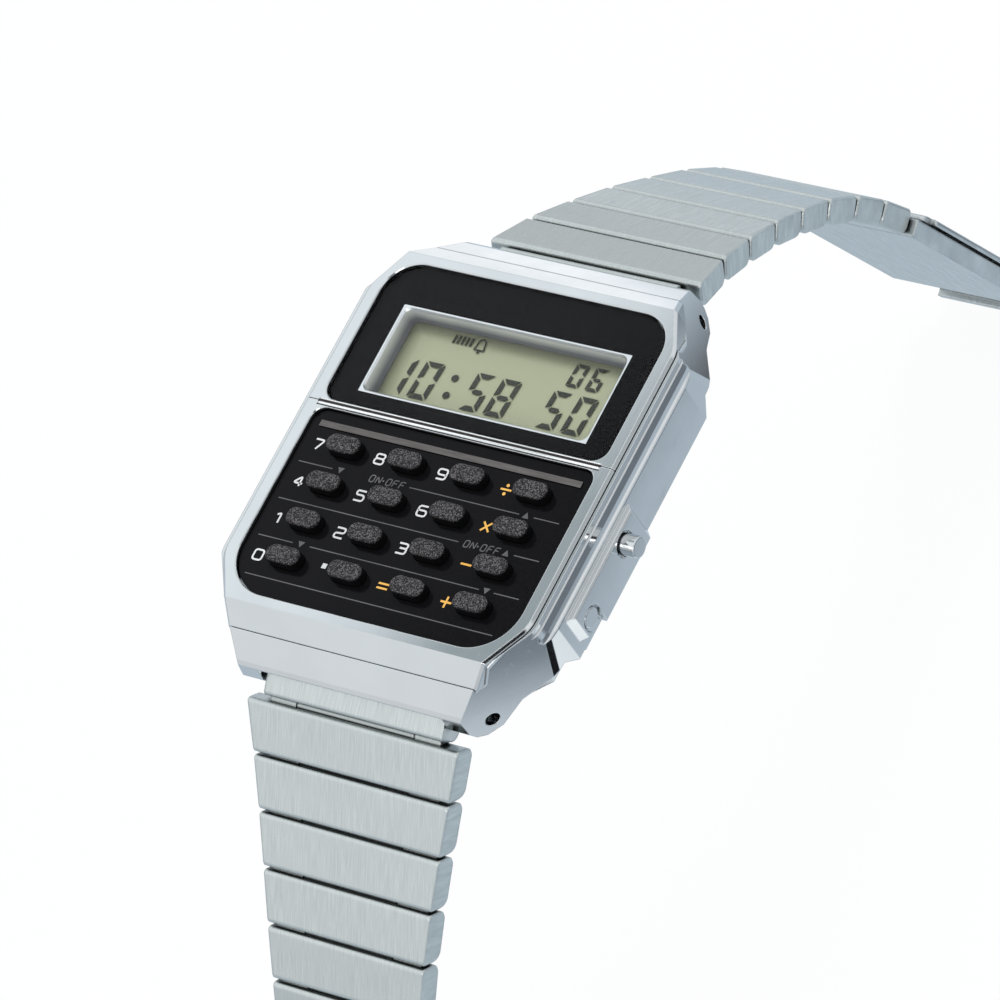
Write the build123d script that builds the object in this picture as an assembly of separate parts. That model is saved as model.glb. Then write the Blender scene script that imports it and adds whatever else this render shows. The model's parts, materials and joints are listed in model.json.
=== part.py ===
from build123d import *
import math
import os

# Wrist calculator watch with a folded-link steel bracelet.
# Frame: mm, origin at the centre of the case back's outer face,
# +X to 3 o'clock, +Y to 12 o'clock, +Z out of the dial.

OVERRUN = 1.0
SLIDE_FIT = 0.05
PIVOT_FIT = 0.05
SEAM = 0.06
SIDE_GAP = 0.10
WALL_GAP = 0.30

# Case outline and levels.
CASE_THICKNESS = 8.2
SIDE_X = 16.20
SIDE_END_Y = 11.60
KNEE_X = 15.95
KNEE_Y = 14.40
TIP_X = 12.80
TIP_Y = 21.15
LUG_PLANE = (0.65, 0.19, 25.64)
KNEE_PLANE = (0.344, 0.086, 20.96)
SIDE_LOW_Z = 1.35
SIDE_LOW_INSET = 1.45
BODY_BASE = 0.55
CREASE_Z = 5.95
CREASE_ROUND = 0.20
RIM_OUT = 0.34
RIM_LOW_Z = 7.25
RIM_Z = 7.85
TIERS = ((0.90, CREASE_Z), (0.64, 6.14), (0.52, 6.50), (0.47, RIM_LOW_Z))
SHOULDER_Y = 17.00
LUG_UNDER_Z = 2.80
LUG_UNDER = ((15.30, BODY_BASE), (15.40, LUG_UNDER_Z), (16.90, LUG_UNDER_Z), (17.30, 2.62), (19.00, 1.82),
             (20.20, 1.90), (20.85, 2.35), (21.10, 3.00))
LUG_FACE_TOP = (21.00, 4.50)
UNDERCUT_X = 14.45
UNDERCUT_Y = (11.00, 12.90)
CORNER_CUT = ((14.60, 13.60), (12.80, 15.40))
SLOPE_LOW = (20.70, 4.87)
SLOPE_TOP_Y = 17.07
LUG_INNER_X = 9.20
LUG_SLOT_Y = 17.65
LUG_SLOT_Z = 4.45
CAVITY_X = 13.40
CAVITY_Y = 14.60
CAVITY_CORNER = 3.20

# Bezel frames.
BEZEL_X = 15.30
BEZEL_BASE = 6.20
BEZEL_SPLIT_Y = 2.02
GROOVE_Y = 18.76
GROOVE_X = 12.39
TOP_CORNER = (1.80, 3.60)
LOW_CORNER = (2.29, 3.89)
OUTLINE_ROUND = 3.00
RIM_CHAMFER = 0.22
OPENING_BEVEL = 0.10
WINDOW_X = 14.02
WINDOW_LOW_Y = 2.34
WINDOW_HIGH_Y = 16.22
WINDOW_ROUND = 3.20
WINDOW_LOW_ROUND = 1.30
TRAY_X = 14.00
TRAY_HIGH_Y = 1.52
TRAY_LOW_Y = -16.14
TRAY_ROUND = 4.20
TRAY_HIGH_ROUND = 1.20

# Display.
GLASS_TOP = 8.10
GLASS_BASE = 7.72
GLASS_CHAMFER = 0.10
MASK_TOP = 7.70
MASK_STEP = 7.10
MASK_BASE = 5.72
MASK_TUBE_X = 11.62
MASK_TUBE_LOW_Y = 3.40
MASK_TUBE_HIGH_Y = 12.90
VIEW_X = 11.08
VIEW_LOW_Y = 4.16
VIEW_HIGH_Y = 12.18
VIEW_ROUND = 0.60
VIEW_BEVEL = 0.16
CELL_X = 11.60
CELL_LOW_Y = 3.40
CELL_HIGH_Y = 12.90
CELL_TOP = 5.70
CELL_BASE = 4.85
CELL_STEP = 0.80
STRIP_X = 10.80
STRIP_WIDTH = 0.70
STRIP_INSET = 0.25

# Keys.
KEY_COLUMN = 6.22
KEY_ROW = 3.61
KEY_FIRST_Y = -1.61
KEY_LENGTH = 3.30
KEY_WIDTH = 1.66
KEY_CORNER = 0.78
KEY_TOP = 8.85
KEY_ROUND = 0.34
KEY_FLANGE_LENGTH = 3.95
KEY_FLANGE_WIDTH = 2.40
KEY_FLANGE_BASE = 5.75
KEY_FLANGE_TOP = 7.05
KEY_NAMES = (
    ("key_7", "key_8", "key_9", "key_divide"),
    ("key_4", "key_5", "key_6", "key_multiply"),
    ("key_1", "key_2", "key_3", "key_minus"),
    ("key_0", "key_point", "key_equals", "key_plus"),
)
PLATE_TOP = 7.75
PLATE_BASE = 7.10
SKIRT_OUT_X = 13.25
SKIRT_IN_X = 12.55
SKIRT_LOW_Y = -10.90
SKIRT_HIGH_Y = 0.60
SKIRT_BASE = 4.44
SKIRT_NOTCH = 1.05
BAR_HIGH_Y = 0.46
BAR_LOW_Y = -0.10
BAR_X = 13.05
BAR_RISE = 0.12
MAT_BASE = 4.42
MAT_TOP = 4.95
MAT_X = 12.40
MAT_LOW_Y = -14.00
MAT_HIGH_Y = 0.40
DOME_TOP = 5.70
DOME_LENGTH = 3.00
DOME_WIDTH = 1.80
DOME_ROUND = 0.30

# Module.
BOARD_TOP = 4.40
BOARD_BASE = 3.80
FRAME_TOP = 3.75
FRAME_BASE = 1.30
BATTERY_Y = 3.40
BATTERY_RADIUS = 10.00
BATTERY_CAP_RADIUS = 8.60
BATTERY_BASE = 1.85
BATTERY_STEP = 3.05
BATTERY_TOP = 3.45
BATTERY_CHAMFER = 0.15
BATTERY_FLOOR = 3.50
CLIP_TOP = 1.80
CLIP_BASE = 1.60
CLIP_WIDTH = 4.00
CLIP_INSET = 0.80
CLIP_REACH = CAVITY_X - CLIP_INSET
CLIP_FOOT = 1.10
CLIP_SEAT = 0.25
CHIP_X = 4.20
CHIP_LOW_Y = -12.60
CHIP_HIGH_Y = -8.40
CHIP_DROP = 1.00
BUZZER_RADIUS = 6.50
BUZZER_TOP = 1.22
BUZZER_CRYSTAL_RADIUS = 4.60
BUZZER_SPLIT = 1.10

# Case back.
BACK_X = 13.95
BACK_Y = 15.20
BACK_CORNER = 1.30
BACK_CHAMFER = 0.25
BACK_BOSS_TOP = 0.90
GASKET_IN = 0.08
GASKET_WIDTH = 0.32
GASKET_HEIGHT = 0.50
SCREW_X = 12.30
SCREW_Y = 14.10
SCREW_RADIUS = 0.45
SCREW_HEAD_RADIUS = 0.80
SCREW_HEAD = 0.35
SCREW_TOP = 2.40
SCREW_SLOT = 0.22
SCREW_SLOT_DEPTH = 0.18

# Guard and pushers, at 3 o'clock.
GUARD_X = 16.80
GUARD_HIGH_Y = 0.70
GUARD_LOW_Y = -10.70
GUARD_LOW_Z = 1.20
GUARD_HIGH_Z = 5.45
GUARD_ROOT_X = 14.50
GUARD_BEVEL = 0.16
GUARD_END_BEVEL = 0.60
MODE_Y = -2.20
MODE_Z = 4.10
MODE_FACE_X = 18.24
MODE_HEAD_X = 16.20
ADJUST_Y = -8.80
ADJUST_Z = 3.30
ADJUST_FACE_X = 16.72
ADJUST_HEAD_X = 15.75
PUSHER_RADIUS = 0.925
PUSHER_ROUND = 0.10
STEM_RADIUS = 0.45
STEM_END_X = 12.55
CLIP_RING_RADIUS = 0.72
CLIP_RING_X = (12.85, 13.15)
COUNTERBORE_X = 15.05
RECESS_RADIUS = 1.15
RECESS_DEPTH = 0.45
NOTCH_HIGH_Y = -7.80
NOTCH_Z = 2.45
POCKET_X = 11.20
POCKET_HALF = 1.10
SPRING_WIRE = 0.11
SPRING_COIL = 0.70
SPRING_TURNS = 4

# Bracelet.
LUG_PIN_Y = 19.24
LUG_PIN_Z = 2.94
PITCH = 4.76
END_PITCH = 2.80
LINK_HALF = 1.15
LINK_GAP = 0.24
LINK_ROUND = 0.90
LINK_OUTER_ROUND = 0.38
KNUCKLE_RADIUS = 0.60
PIN_RADIUS = 0.30
WEB_HALF = 0.42
WEB_REACH = 0.75
KNUCKLE_SHARE = 0.55
CHEEK_INSET = 0.60
EDGE_CHAMFER = 0.14
END_LINK_X = 8.90
END_LINK_CHEEK_X = 8.50
BAR_RADIUS = 0.72
BAR_TIP_RADIUS = 0.45
BAR_TUBE_X = 9.00
BAR_TIP_X = 10.90
LUG_HOLE_RADIUS = 0.55
UPPER_HEADINGS = (-29.6, -37.2, -40.1, -44.2, -46.1, -52.3, -60.0, -66.0)
LOWER_HEADINGS = (-46.0, -45.2, -45.1, -46.0, -48.5, -52.0, -56.5, -62.0, -67.0)
UPPER_END_HEADING = -19.5
LOWER_END_HEADING = -30.0
CLASP_HEADING = -71.0
HOOK_HEADING = -71.0
LADDER_HEADING = -72.0
LINK_WIDTHS = (10.61, 9.82, 9.10, 8.47, 7.92, 7.45, 7.20, 7.05, 6.95, 6.90)

# Clasp.
CLASP_X = 7.60
CLASP_LENGTH = 24.50
CLASP_BASE_LOW = -1.15
CLASP_BASE_HIGH = -0.60
CLASP_WALL = 0.50
CLASP_WALL_TOP = 0.45
CLASP_WALL_START = 1.20
CLASP_END_BLOCK = 1.60
COVER_TOP = 1.30
COVER_BASE = 0.75
COVER_START = 2.00
COVER_END_GAP = 0.80
COVER_END = CLASP_LENGTH - COVER_END_GAP
COVER_PIVOT_S = 2.70
COVER_PIVOT_N = 0.15
COVER_EAR_IN = 5.60
COVER_EAR_OUT = 6.60
COVER_ROUND = 1.20
COVER_LIP = 0.35
COVER_NECK_X = 6.95
COVER_NECK_LENGTH = 0.60
HOOK_X = 5.40
HOOK_LENGTH = 5.00
HOOK_HALF = 0.45
HOOK_CLAW = 0.70
HOOK_CLAW_DROP = 1.10
LADDER_X = 5.60
LADDER_LENGTH = 21.90
LADDER_HALF = 0.45
LADDER_SLOTS = 7
LADDER_SLOT_X = 4.00
LADDER_SLOT_LENGTH = 1.20
LADDER_SLOT_PITCH = 2.40
LADDER_FIRST = 4.20
LADDER_ROLL = 0.75


def block(x0, x1, y0, y1, z0, z1):
    return Pos((x0 + x1) / 2, (y0 + y1) / 2, (z0 + z1) / 2) * Box(x1 - x0, y1 - y0, z1 - z0)


def plan(points, z0, z1):
    face = make_face(Polyline(*points, close=True))
    return Pos(0, 0, z0) * extrude(face, z1 - z0)


def along_x(points, x0, x1):
    face = make_face(Polyline(*[(x0, y, z) for y, z in points], close=True))
    return extrude(face, x1 - x0, dir=(1, 0, 0))


def along_y(points, y0, y1):
    face = make_face(Polyline(*[(x, y0, z) for x, z in points], close=True))
    return extrude(face, y1 - y0, dir=(0, 1, 0))


def rod_x(radius, x0, x1, y, z):
    return Pos((x0 + x1) / 2, y, z) * Rot(0, 90, 0) * Cylinder(radius, x1 - x0)


def rod_z(radius, x, y, z0, z1):
    return Pos(x, y, (z0 + z1) / 2) * Cylinder(radius, z1 - z0)


def both_sides(points):
    return list(points) + [(-x, y) for x, y in reversed(points)]


def pill(length, width, corner, x, y, z0, z1):
    return Pos(x, y, z0) * extrude(RectangleRounded(length, width, corner), z1 - z0)


def cornered(half_x, half_y, corner, z0, z1):
    right = [(half_x - corner, -half_y), (half_x, corner - half_y), (half_x, half_y - corner),
             (half_x - corner, half_y)]
    return plan(both_sides(right), z0, z1)


def panel(half_x, y0, y1, round_low, round_high, z0, z1):
    body = block(-half_x, half_x, y0, y1, z0, z1)
    upright = body.edges().filter_by(Axis.Z)
    body = fillet([e for e in upright if e.center().Y < (y0 + y1) / 2], round_low)
    upright = body.edges().filter_by(Axis.Z)
    high = [e for e in upright if abs(e.center().Y - y1) < SEAM]
    return fillet(high, round_high)


def slope_limit(x_half):
    low_y, low_z = SLOPE_LOW
    rise = (CASE_THICKNESS - low_z) / (low_y - SLOPE_TOP_Y)
    far_y = low_y + OVERRUN
    far_z = low_z - OVERRUN * rise
    points = [(-far_y, far_z), (-SLOPE_TOP_Y, CASE_THICKNESS), (SLOPE_TOP_Y, CASE_THICKNESS),
              (far_y, far_z), (far_y, -OVERRUN), (-far_y, -OVERRUN)]
    return along_x(points, -x_half, x_half)


def trimmed(piece, plane):
    taper, lean, reach = plane
    for sx in (-1, 1):
        for sy in (-1, 1):
            face = Plane(origin=(sx * reach, 0, 0), z_dir=(sx, sy * taper, lean))
            piece -= face * Pos(0, 0, SIDE_X) * Box(4 * SIDE_X, 4 * SIDE_X, 2 * SIDE_X)
    return piece


def save(name, shape):
    export_step(shape, "parts/" + name + ".step")


os.makedirs("parts", exist_ok=True)

# Outline of the two bezel frames together.
high_right = [(BEZEL_X, 0), (BEZEL_X, SLOPE_TOP_Y - TOP_CORNER[1]), (BEZEL_X - TOP_CORNER[0], SLOPE_TOP_Y),
              (GROOVE_X, GROOVE_Y)]
low_right = [(GROOVE_X, -GROOVE_Y), (BEZEL_X - LOW_CORNER[0], -SLOPE_TOP_Y),
             (BEZEL_X, LOW_CORNER[1] - SLOPE_TOP_Y), (BEZEL_X, 0)]
bezel_outline = both_sides(low_right[:-1] + high_right[1:])


def bezel_face(grow, level):
    face = offset(make_face(Polyline(*bezel_outline, close=True)), grow, kind=Kind.INTERSECTION)
    turns = [v for v in face.vertices() if SIDE_END_Y < abs(v.Y) < SLOPE_TOP_Y - SEAM]
    return Pos(0, 0, level) * fillet(turns, OUTLINE_ROUND + grow)


# Case body: plan outline and end profile crossed, trimmed by the four lug faces.
# A trimming plane is x + taper * y + lean * z = reach.
right_side = [(TIP_X, -TIP_Y), (KNEE_X, -KNEE_Y), (SIDE_X, -SIDE_END_Y), (SIDE_X, SIDE_END_Y),
              (KNEE_X, KNEE_Y), (TIP_X, TIP_Y)]
case_body = plan(both_sides(right_side), BODY_BASE, CASE_THICKNESS)
right_end = list(LUG_UNDER) + [LUG_FACE_TOP, SLOPE_LOW, (SLOPE_TOP_Y, CASE_THICKNESS)]
case_body = case_body & along_x(both_sides(right_end), -SIDE_X, SIDE_X)
case_body = trimmed(case_body, LUG_PLANE)
past_x = SIDE_X + OVERRUN
past_z = BODY_BASE - OVERRUN
inset_x = SIDE_X - SIDE_LOW_INSET
undercut = [(UNDERCUT_Y[0], past_z), (UNDERCUT_Y[0], BODY_BASE), (UNDERCUT_Y[1], LUG_UNDER_Z),
            (SLOPE_TOP_Y, LUG_UNDER_Z), (SLOPE_TOP_Y, past_z)]
corner_cut = list(CORNER_CUT) + [(past_x, CORNER_CUT[1][1]), (past_x, CORNER_CUT[0][1])]
low_edge = [(SIDE_X, past_z), (past_x, past_z), (past_x, SIDE_LOW_Z), (SIDE_X, SIDE_LOW_Z),
            (inset_x, BODY_BASE), (inset_x, past_z)]
for side in (-1, 1):
    case_body -= along_y([(side * x, z) for x, z in low_edge], -KNEE_Y, KNEE_Y)
    under_x = sorted((side * UNDERCUT_X, side * past_x))
    for end in (-1, 1):
        case_body -= along_x([(end * y, z) for y, z in undercut], under_x[0], under_x[1])
        case_body -= plan([(side * x, end * y) for x, y in corner_cut], past_z, LUG_UNDER_Z)

# Shoulder under the bezel: a hollow tier from the crease up to the rim round the frames.
tier = extrude(bezel_face(RIM_OUT, RIM_LOW_Z), RIM_Z - RIM_LOW_Z)
for (grow_low, z_low), (grow_high, z_high) in zip(TIERS[:-1], TIERS[1:]):
    tier += loft([bezel_face(grow_low, z_low), bezel_face(grow_high, z_high)], ruled=True)
around = block(-past_x, past_x, -SHOULDER_Y, SHOULDER_Y, CREASE_Z, CASE_THICKNESS + OVERRUN)
case_body -= around - tier
creases = [e for e in case_body.edges().filter_by(Axis.Y)
           if abs(e.center().Z - CREASE_Z) < SEAM and abs(e.center().X) > SIDE_X - SEAM
           and e.length > SIDE_END_Y]
case_body = trimmed(fillet(creases, CREASE_ROUND), KNEE_PLANE)

# Guard boss beside the pushers.
guard = block(GUARD_ROOT_X, GUARD_X, GUARD_LOW_Y, GUARD_HIGH_Y, GUARD_LOW_Z, GUARD_HIGH_Z)
guard_face = guard.faces().sort_by(Axis.X)[-1]
guard_short = guard_face.edges().sort_by(SortBy.LENGTH)[:2]
guard = chamfer(guard_short, GUARD_END_BEVEL)
guard_face = guard.faces().sort_by(Axis.X)[-1]
guard_long = guard_face.edges().sort_by(SortBy.LENGTH)[-2:]
guard = chamfer(guard_long, GUARD_BEVEL)
case_body = case_body + guard

# Room for the module, the bezel frames and the end links.
case_body -= cornered(CAVITY_X, CAVITY_Y, CAVITY_CORNER, -OVERRUN, CASE_THICKNESS + OVERRUN)
case_body -= extrude(bezel_face(SEAM, BEZEL_BASE), CASE_THICKNESS)
for side in (-1, 1):
    slot_ends = sorted((side * LUG_SLOT_Y, side * (TIP_Y + OVERRUN)))
    case_body -= block(-LUG_INNER_X, LUG_INNER_X, slot_ends[0], slot_ends[1], -OVERRUN, LUG_SLOT_Z)
    case_body -= rod_x(LUG_HOLE_RADIUS, -SIDE_X, SIDE_X, side * LUG_PIN_Y, LUG_PIN_Z)

# Pusher bores.
for y, z, head_x in ((MODE_Y, MODE_Z, MODE_HEAD_X), (ADJUST_Y, ADJUST_Z, ADJUST_HEAD_X)):
    case_body -= rod_x(STEM_RADIUS + SLIDE_FIT, CAVITY_X - OVERRUN, SIDE_X, y, z)
    case_body -= rod_x(PUSHER_RADIUS + SLIDE_FIT, COUNTERBORE_X, GUARD_X + OVERRUN, y, z)
    case_body -= rod_x(RECESS_RADIUS, GUARD_X - RECESS_DEPTH, GUARD_X + OVERRUN, y, z)
case_body -= block(SIDE_X, GUARD_X + OVERRUN, GUARD_LOW_Y - OVERRUN, NOTCH_HIGH_Y, 0, NOTCH_Z)

# Screw holes and gasket groove under the case.
screw_spots = [(sx * SCREW_X, sy * SCREW_Y) for sx in (-1, 1) for sy in (-1, 1)]
for x, y in screw_spots:
    case_body -= rod_z(SCREW_RADIUS, x, y, -OVERRUN, SCREW_TOP)
groove_in = GASKET_IN
groove_out = GASKET_IN + GASKET_WIDTH
gasket = cornered(CAVITY_X + groove_out, CAVITY_Y + groove_out, CAVITY_CORNER, BODY_BASE,
                  BODY_BASE + GASKET_HEIGHT)
gasket -= cornered(CAVITY_X + groove_in, CAVITY_Y + groove_in, CAVITY_CORNER, 0, CASE_THICKNESS)
case_body -= gasket
save("case_body", case_body)
save("back_gasket", gasket)


# Bezel frames, each a ring with its own end slope and softened edges.
whole_bezel = extrude(bezel_face(0, BEZEL_BASE), CASE_THICKNESS - BEZEL_BASE) & slope_limit(SIDE_X)
rims = [e for e in whole_bezel.edges()
        if e.center().Z > BEZEL_BASE + RIM_CHAMFER and abs(e.center().X) > GROOVE_X / 2
        and abs(e.bounding_box().size.Y) > SEAM]
whole_bezel = chamfer(rims, RIM_CHAMFER)
split_low = block(-SIDE_X, SIDE_X, -TIP_Y, BEZEL_SPLIT_Y - SEAM / 2, 0, CASE_THICKNESS)
split_high = block(-SIDE_X, SIDE_X, BEZEL_SPLIT_Y + SEAM / 2, TIP_Y, 0, CASE_THICKNESS)
window_hole = panel(WINDOW_X, WINDOW_LOW_Y, WINDOW_HIGH_Y, WINDOW_LOW_ROUND, WINDOW_ROUND,
                    0, CASE_THICKNESS + OVERRUN)
tray_hole = panel(TRAY_X, TRAY_LOW_Y, TRAY_HIGH_Y, TRAY_ROUND, TRAY_HIGH_ROUND,
                  0, CASE_THICKNESS + OVERRUN)
bezel_cuts = (("upper_bezel", split_high, window_hole), ("lower_bezel", split_low, tray_hole))
for name, half_block, hole in bezel_cuts:
    bezel = (whole_bezel & half_block) - hole
    opening = bezel.faces().sort_by(Axis.Z)[-1].inner_wires()[0]
    save(name, chamfer(opening.edges(), OPENING_BEVEL))

# Window, mask with the viewing opening, display cell and connector strips.
glass = panel(WINDOW_X - SEAM, WINDOW_LOW_Y + SEAM, WINDOW_HIGH_Y - SEAM, WINDOW_LOW_ROUND, WINDOW_ROUND,
              GLASS_BASE, GLASS_TOP)
glass = chamfer(glass.faces().sort_by(Axis.Z)[-1].edges(), GLASS_CHAMFER)
save("display_window", glass)
mask = panel(WINDOW_X - SEAM, WINDOW_LOW_Y + SEAM, WINDOW_HIGH_Y - SEAM, WINDOW_LOW_ROUND, WINDOW_ROUND,
             MASK_STEP, MASK_TOP)
mask += block(-MASK_TUBE_X, MASK_TUBE_X, MASK_TUBE_LOW_Y, MASK_TUBE_HIGH_Y, MASK_BASE, MASK_STEP)
mask -= panel(VIEW_X, VIEW_LOW_Y, VIEW_HIGH_Y, VIEW_ROUND, VIEW_ROUND, 0, CASE_THICKNESS)
view_edges = [e for e in mask.faces().sort_by(Axis.Z)[-1].edges()
              if abs(e.center().X) < VIEW_X + SEAM and VIEW_LOW_Y - SEAM < e.center().Y < VIEW_HIGH_Y + SEAM]
mask = chamfer(view_edges, VIEW_BEVEL)
save("window_mask", mask)
cell = block(-CELL_X, CELL_X, CELL_LOW_Y, CELL_HIGH_Y, (CELL_TOP + CELL_BASE) / 2, CELL_TOP)
cell += block(-CELL_X, CELL_X, CELL_LOW_Y, CELL_HIGH_Y - CELL_STEP, CELL_BASE, (CELL_TOP + CELL_BASE) / 2)
save("lcd_cell", cell)
strip_low = block(-STRIP_X, STRIP_X, CELL_LOW_Y + STRIP_INSET, CELL_LOW_Y + STRIP_INSET + STRIP_WIDTH,
                  BOARD_TOP, CELL_BASE)
strip_high_y = CELL_HIGH_Y - CELL_STEP - STRIP_INSET
strip_high = block(-STRIP_X, STRIP_X, strip_high_y - STRIP_WIDTH, strip_high_y, BOARD_TOP, CELL_BASE)
save("connector_strips", Compound(children=[strip_low, strip_high]))

# Keypad: plate, sixteen keys and the sprung mat under them.
key_spots = []
for row, names in enumerate(KEY_NAMES):
    for column, name in enumerate(names):
        x = (column - (len(names) - 1) / 2) * KEY_COLUMN
        key_spots.append((name, x, KEY_FIRST_Y - row * KEY_ROW))
plate = panel(TRAY_X - SEAM, TRAY_LOW_Y + SEAM, TRAY_HIGH_Y - SEAM, TRAY_ROUND, TRAY_HIGH_ROUND,
              PLATE_BASE, PLATE_TOP)
plate += block(-BAR_X, BAR_X, BAR_LOW_Y, BAR_HIGH_Y, PLATE_TOP - SEAM, PLATE_TOP + BAR_RISE)
for side in (-1, 1):
    skirt_x = sorted((side * SKIRT_IN_X, side * SKIRT_OUT_X))
    plate += block(skirt_x[0], skirt_x[1], SKIRT_LOW_Y, SKIRT_HIGH_Y, SKIRT_BASE, PLATE_BASE)
plate -= block(-SKIRT_OUT_X - OVERRUN, SKIRT_OUT_X + OVERRUN, MODE_Y - SKIRT_NOTCH, MODE_Y + SKIRT_NOTCH,
               0, MODE_Z + SKIRT_NOTCH)
for name, x, y in key_spots:
    plate -= pill(KEY_LENGTH + 2 * SLIDE_FIT, KEY_WIDTH + 2 * SLIDE_FIT, KEY_CORNER + SLIDE_FIT,
                  x, y, 0, CASE_THICKNESS)
save("keypad_plate", plate)
key_shape = pill(KEY_LENGTH, KEY_WIDTH, KEY_CORNER, 0, 0, KEY_FLANGE_TOP, KEY_TOP)
key_shape = fillet(key_shape.faces().sort_by(Axis.Z)[-1].edges(), KEY_ROUND)
key_shape += pill(KEY_FLANGE_LENGTH, KEY_FLANGE_WIDTH, KEY_CORNER, 0, 0, KEY_FLANGE_BASE, KEY_FLANGE_TOP)
mat = cornered(MAT_X, CAVITY_Y - WALL_GAP, CAVITY_CORNER, MAT_BASE, MAT_TOP)
mat = mat & block(-MAT_X, MAT_X, MAT_LOW_Y, MAT_HIGH_Y, MAT_BASE, MAT_TOP)
for name, x, y in key_spots:
    save(name, Pos(x, y, 0) * key_shape)
    dome = pill(DOME_LENGTH, DOME_WIDTH, KEY_CORNER, x, y, MAT_TOP, DOME_TOP)
    mat += fillet(dome.faces().sort_by(Axis.Z)[-1].edges(), DOME_ROUND)
save("key_mat", mat)

# Module: board, frame, battery with its clip, and the sounder on the case back.
board = cornered(CAVITY_X - WALL_GAP, CAVITY_Y - WALL_GAP, CAVITY_CORNER, BOARD_BASE, BOARD_TOP)
board += block(-CHIP_X, CHIP_X, CHIP_LOW_Y, CHIP_HIGH_Y, BOARD_BASE - CHIP_DROP, BOARD_BASE)
frame = cornered(CAVITY_X - WALL_GAP, CAVITY_Y - WALL_GAP, CAVITY_CORNER, FRAME_BASE, FRAME_TOP)
frame -= rod_z(BATTERY_RADIUS + SEAM, 0, BATTERY_Y, 0, BATTERY_FLOOR)
frame -= block(-CHIP_X - WALL_GAP, CHIP_X + WALL_GAP, CHIP_LOW_Y - WALL_GAP, CHIP_HIGH_Y + WALL_GAP,
               0, FRAME_TOP + OVERRUN)
frame -= block(-CLIP_REACH, CLIP_REACH, BATTERY_Y - CLIP_WIDTH / 2, BATTERY_Y + CLIP_WIDTH / 2, 0, CLIP_TOP)
for y, z in ((MODE_Y, MODE_Z), (ADJUST_Y, ADJUST_Z)):
    pocket = block(POCKET_X, CAVITY_X, y - POCKET_HALF, y + POCKET_HALF, 0, BOARD_TOP + OVERRUN)
    board -= pocket
    frame -= pocket
save("circuit_board", board)
save("module_frame", frame)
battery = rod_z(BATTERY_RADIUS, 0, BATTERY_Y, BATTERY_BASE, BATTERY_STEP)
battery = chamfer(battery.faces().sort_by(Axis.Z)[0].edges(), BATTERY_CHAMFER)
battery += rod_z(BATTERY_CAP_RADIUS, 0, BATTERY_Y, BATTERY_STEP, BATTERY_TOP)
save("battery_cell", battery)
clip = block(-CLIP_REACH, CLIP_REACH, BATTERY_Y - CLIP_WIDTH / 2 + SEAM, BATTERY_Y + CLIP_WIDTH / 2 - SEAM,
             CLIP_BASE, CLIP_TOP)
for side in (-1, 1):
    foot_x = sorted((side * CLIP_REACH, side * (CLIP_REACH - CLIP_FOOT)))
    clip += block(foot_x[0], foot_x[1], BATTERY_Y - CLIP_WIDTH / 2 + SEAM, BATTERY_Y + CLIP_WIDTH / 2 - SEAM,
                  CLIP_BASE - CLIP_SEAT, CLIP_BASE)
save("battery_clip", clip)
buzzer = rod_z(BUZZER_RADIUS, 0, 0, BACK_BOSS_TOP, BUZZER_SPLIT)
buzzer += rod_z(BUZZER_CRYSTAL_RADIUS, 0, 0, BUZZER_SPLIT, BUZZER_TOP)
save("buzzer_disc", buzzer)

# Case back and its four screws.
back = cornered(BACK_X, BACK_Y, BACK_CORNER, 0, BODY_BASE)
back = chamfer(back.faces().sort_by(Axis.Z)[0].edges(), BACK_CHAMFER)
back += cornered(CAVITY_X - SEAM, CAVITY_Y - SEAM, CAVITY_CORNER, BODY_BASE, BACK_BOSS_TOP)
screws = []
for x, y in screw_spots:
    back -= rod_z(SCREW_RADIUS + SEAM, x, y, -OVERRUN, CASE_THICKNESS)
    back -= rod_z(SCREW_HEAD_RADIUS + SEAM, x, y, -OVERRUN, SCREW_HEAD)
    screw = rod_z(SCREW_HEAD_RADIUS, x, y, SEAM, SCREW_HEAD)
    screw += rod_z(SCREW_RADIUS, x, y, SCREW_HEAD, SCREW_TOP)
    screw -= block(x - SCREW_HEAD_RADIUS, x + SCREW_HEAD_RADIUS, y - SCREW_SLOT / 2, y + SCREW_SLOT / 2,
                   -OVERRUN, SEAM + SCREW_SLOT_DEPTH)
    screws.append(screw)
save("case_back", back)
save("back_screws", Compound(children=screws))


# Pushers with a head, a stem and a retaining ring, and the springs round the stems.
def pusher(y, z, face_x, head_x):
    head = rod_x(PUSHER_RADIUS, head_x, face_x, y, z)
    head = fillet(head.faces().sort_by(Axis.X)[-1].edges(), PUSHER_ROUND)
    stem = rod_x(STEM_RADIUS, STEM_END_X, head_x, y, z)
    ring = rod_x(CLIP_RING_RADIUS, CLIP_RING_X[0], CLIP_RING_X[1], y, z)
    return head + stem + ring


save("mode_pusher", pusher(MODE_Y, MODE_Z, MODE_FACE_X, MODE_HEAD_X))
save("adjust_pusher", pusher(ADJUST_Y, ADJUST_Z, ADJUST_FACE_X, ADJUST_HEAD_X))
springs = []
for y, z, head_x in ((MODE_Y, MODE_Z, MODE_HEAD_X), (ADJUST_Y, ADJUST_Z, ADJUST_HEAD_X)):
    rise = head_x - COUNTERBORE_X - 2 * SPRING_WIRE - 2 * SEAM
    path = Helix(rise / SPRING_TURNS, rise, SPRING_COIL)
    wire = Plane(origin=path @ 0, z_dir=path % 0) * Circle(SPRING_WIRE)
    coil = sweep(wire, path=path, is_frenet=True)
    springs.append(Pos(COUNTERBORE_X + SEAM + SPRING_WIRE, y, z) * Rot(0, 90, 0) * coil)
save("pusher_springs", Compound(children=springs))


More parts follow.
